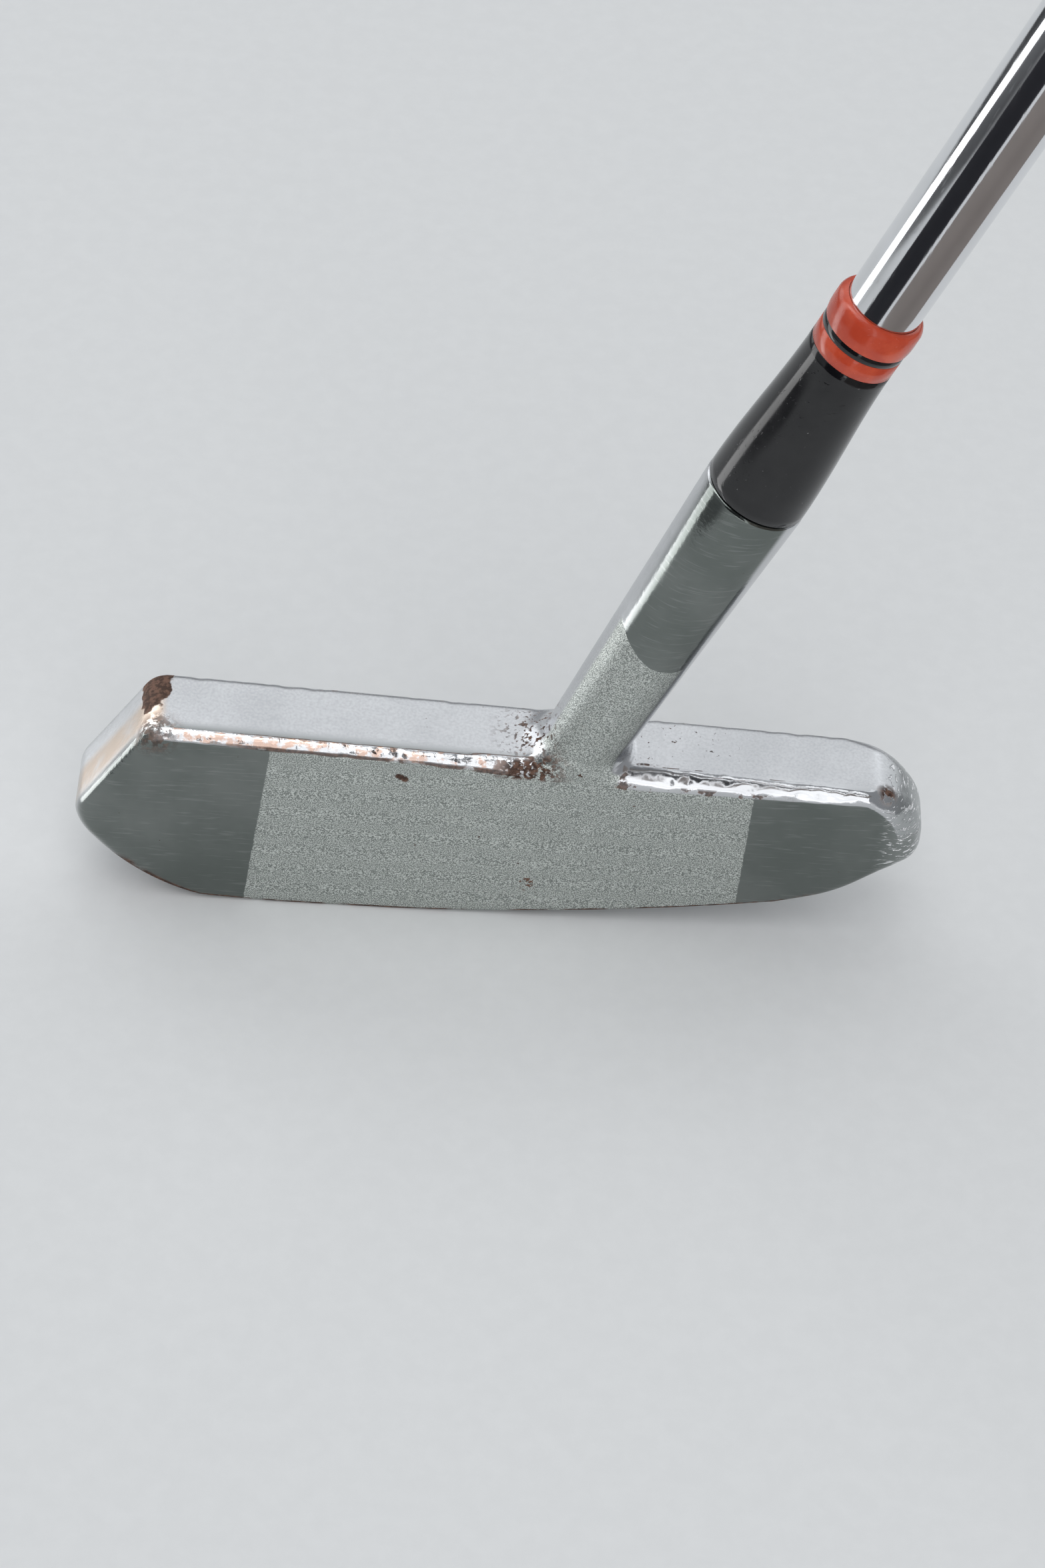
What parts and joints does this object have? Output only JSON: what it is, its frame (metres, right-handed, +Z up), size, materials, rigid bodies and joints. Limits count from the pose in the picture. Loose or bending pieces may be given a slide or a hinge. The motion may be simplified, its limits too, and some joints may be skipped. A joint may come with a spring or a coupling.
{
  "type": "blade putter",
  "caption": "Right-handed blade putter: a forged chromed head with its hosel, a ringed ferrule, a stepped steel shaft and a leather-wrapped grip.",
  "frame": {"origin": "the point on the ground where the middle of the sole's worn flat rests at address", "axes": "+X from toe to heel, -Y the way the face looks, +Z up; the shaft leans toward +X by the 68 degree lie"},
  "size_m": [0.4023, 0.026, 0.8288],
  "materials": {
    "head_plating": "chrome plate on forged steel: mirror at toe, heel and neck, sandblasted matte in the middle of the face, worn and pitted at the edges",
    "shaft_chrome": "bright chrome plate on drawn steel tube",
    "cork": "raw cork",
    "ferrule_black": "polished black celluloid with fine scuffs",
    "ferrule_red": "polished orange-red celluloid",
    "listing_rubber": "dull moulded rubber",
    "grip_leather": "dark tanned calf leather strip, slightly polished by use",
    "grip_plastic": "satin black moulded plastic"
  },
  "bodies": {
    "root": {"putter_head": "head_plating", "shaft": "shaft_chrome", "shaft_tip_plug": "cork", "ferrule_body": "ferrule_black", "ferrule_lower_ring": "ferrule_red", "ferrule_thin_ring": "ferrule_black", "ferrule_cap_ring": "ferrule_red", "grip_underlisting": "listing_rubber", "grip_leather": "grip_leather", "grip_collar": "grip_plastic", "grip_end_cap": "grip_plastic"}
  },
  "joints": []
}
